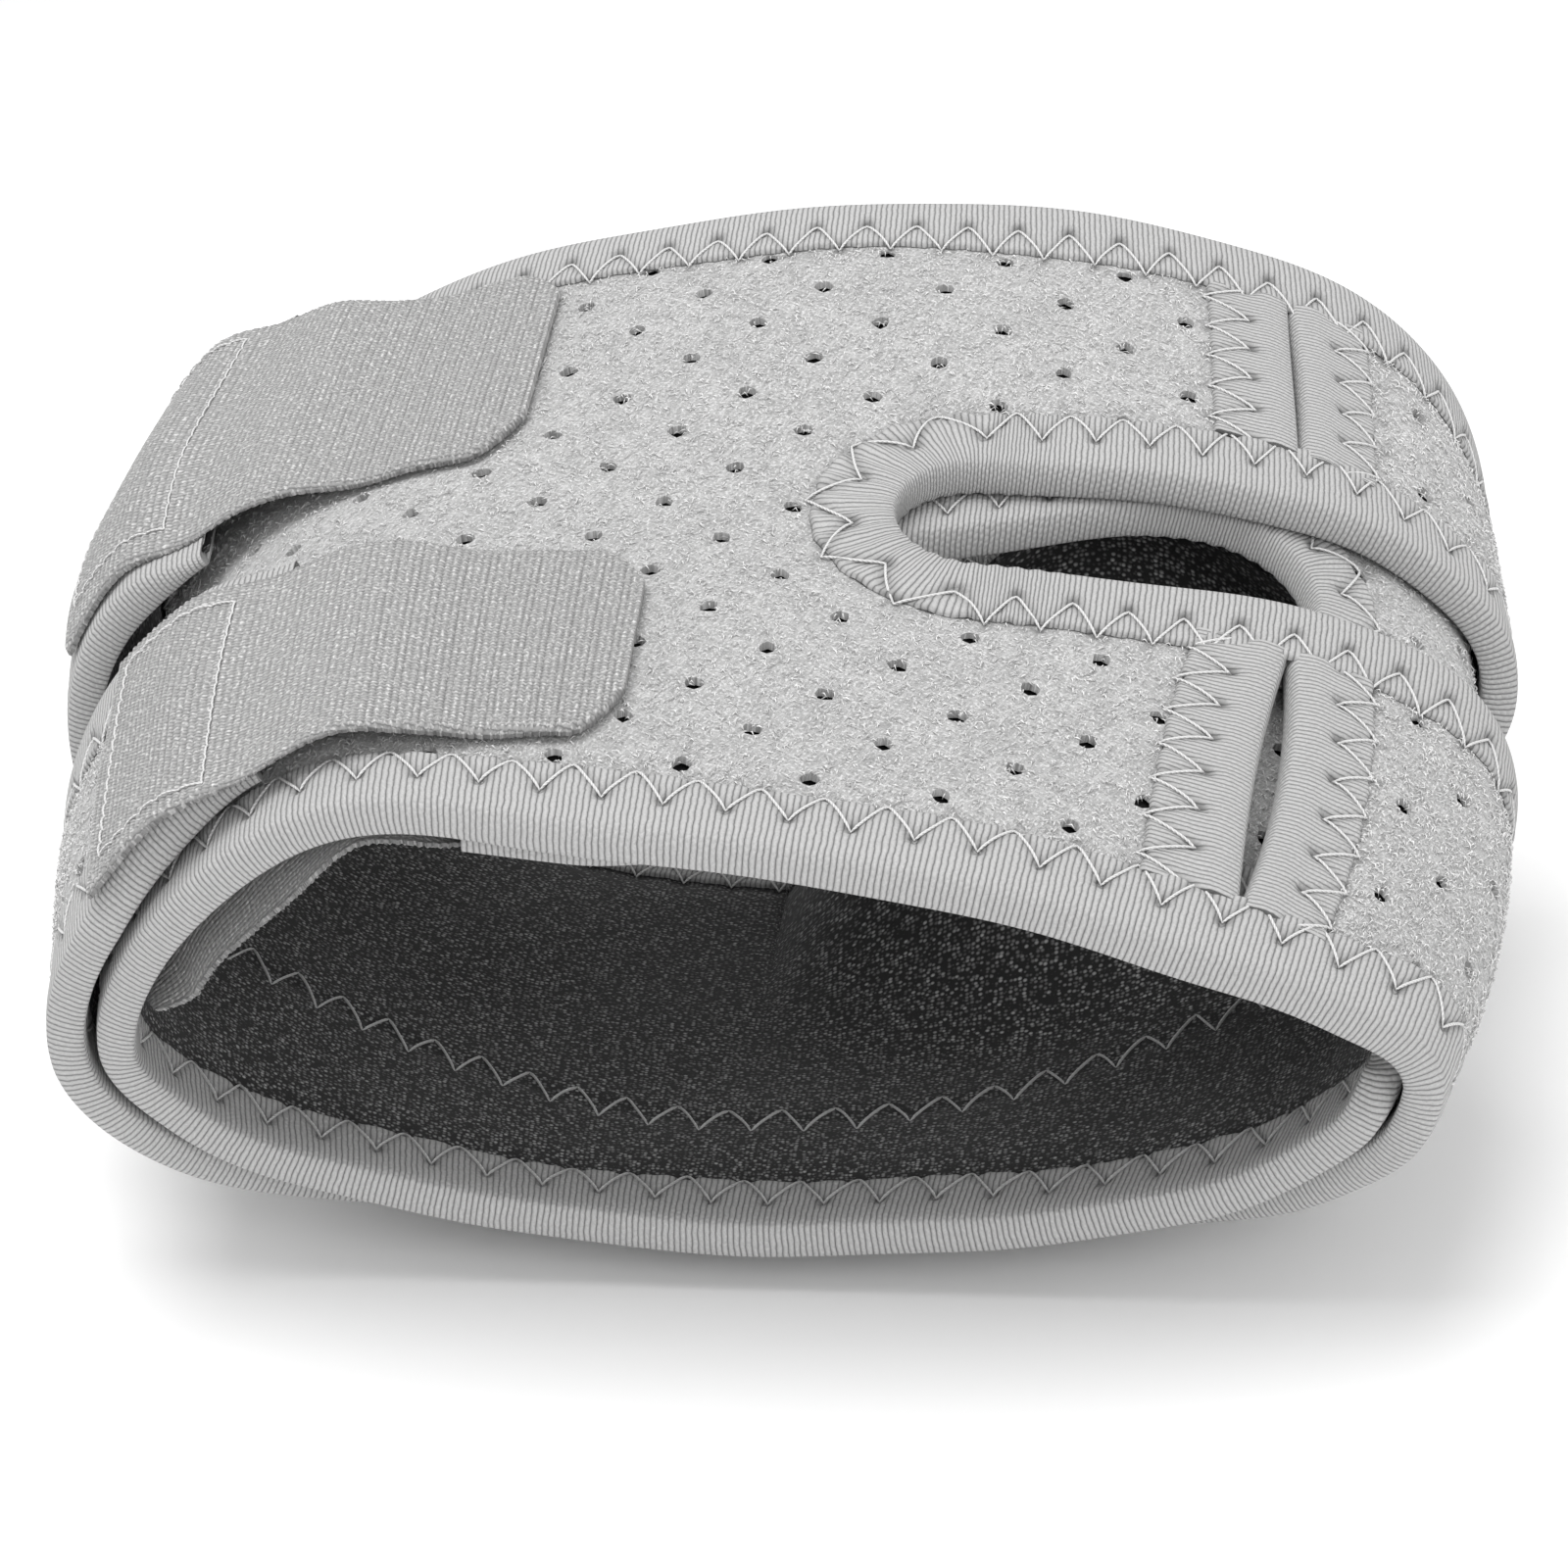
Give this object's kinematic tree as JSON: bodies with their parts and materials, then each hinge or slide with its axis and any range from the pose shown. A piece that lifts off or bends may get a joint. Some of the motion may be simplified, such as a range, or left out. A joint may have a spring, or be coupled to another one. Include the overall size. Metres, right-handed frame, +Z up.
{
  "type": "elbow brace",
  "caption": "Wrap-around foam elbow brace lying closed: notched, perforated panel with bound edges and slots, and hook tabs that peel open.",
  "frame": {"origin": "middle of the brace's footprint, on the surface that it lies on", "axes": "+Y along the arm from the forearm end to the upper arm end, +Z up through the crook of the elbow, +X to the right as seen from the forearm end"},
  "size_m": [0.1803, 0.1308, 0.0957],
  "materials": {
    "loop_fabric": "brushed loop knit, perforated, matt",
    "foam_core": "closed-cell foam, matt",
    "jersey_lining": "fine knitted jersey, matt",
    "binding_tape": "ribbed knitted tape, soft sheen",
    "hook_tape": "woven ribbed back of hook tape",
    "thread": "polyester sewing thread"
  },
  "bodies": {
    "brace": {"body_face": "loop_fabric", "body_foam": "foam_core", "body_lining": "jersey_lining", "lower_strap_face": "loop_fabric", "lower_strap_foam": "foam_core", "lower_strap_lining": "jersey_lining", "upper_strap_face": "loop_fabric", "upper_strap_foam": "foam_core", "upper_strap_lining": "jersey_lining", "near_edge_binding": "binding_tape", "far_edge_binding": "binding_tape", "notch_binding": "binding_tape", "inner_notch_binding": "binding_tape", "lower_slot_left_binding": "binding_tape", "lower_slot_right_binding": "binding_tape", "upper_slot_left_binding": "binding_tape", "upper_slot_right_binding": "binding_tape", "near_edge_stitching": "thread", "far_edge_stitching": "thread", "notch_stitching": "thread", "inner_notch_stitching": "thread", "lower_slot_stitching": "thread", "upper_slot_stitching": "thread", "lining_seam_stitching": "thread", "inner_near_hook_tab": "hook_tape", "inner_far_hook_tab": "hook_tape", "inner_near_tab_stitching": "thread", "inner_far_tab_stitching": "thread"},
    "lower_strap_end": {"lower_end_face": "loop_fabric", "lower_end_foam": "foam_core", "lower_end_lining": "jersey_lining", "lower_end_near_binding": "binding_tape", "lower_end_notch_binding": "binding_tape", "lower_end_stitching": "thread", "lower_tab_anchor": "hook_tape", "lower_tab_stitching": "thread"},
    "upper_strap_end": {"upper_end_face": "loop_fabric", "upper_end_foam": "foam_core", "upper_end_lining": "jersey_lining", "upper_end_far_binding": "binding_tape", "upper_end_notch_binding": "binding_tape", "upper_end_stitching": "thread", "upper_tab_anchor": "hook_tape", "upper_tab_stitching": "thread"},
    "lower_tab": {"lower_hook_tab": "hook_tape"},
    "upper_tab": {"upper_hook_tab": "hook_tape"}
  },
  "joints": [
    {"name": "lower_strap_unwrap", "type": "hinge", "parent": "brace", "child": "lower_strap_end", "pos_m": [-0.08013, -0.034, 0.03637], "axis": [0.1971, -0.97, -0.1425], "range_deg": [0, 80]},
    {"name": "upper_strap_unwrap", "type": "hinge", "parent": "brace", "child": "upper_strap_end", "pos_m": [-0.08964, 0.033, 0.04673], "axis": [0.0081, -0.9885, -0.1511], "range_deg": [0, 80]},
    {"name": "lower_tab_peel", "type": "hinge", "parent": "lower_strap_end", "child": "lower_tab", "pos_m": [-0.05294, -0.035, 0.07419], "axis": [0.1097, -0.981, -0.16], "range_deg": [0, 75]},
    {"name": "upper_tab_peel", "type": "hinge", "parent": "upper_strap_end", "child": "upper_tab", "pos_m": [-0.07222, 0.032, 0.08098], "axis": [-0.0154, -0.9674, -0.2529], "range_deg": [0, 75]}
  ]
}
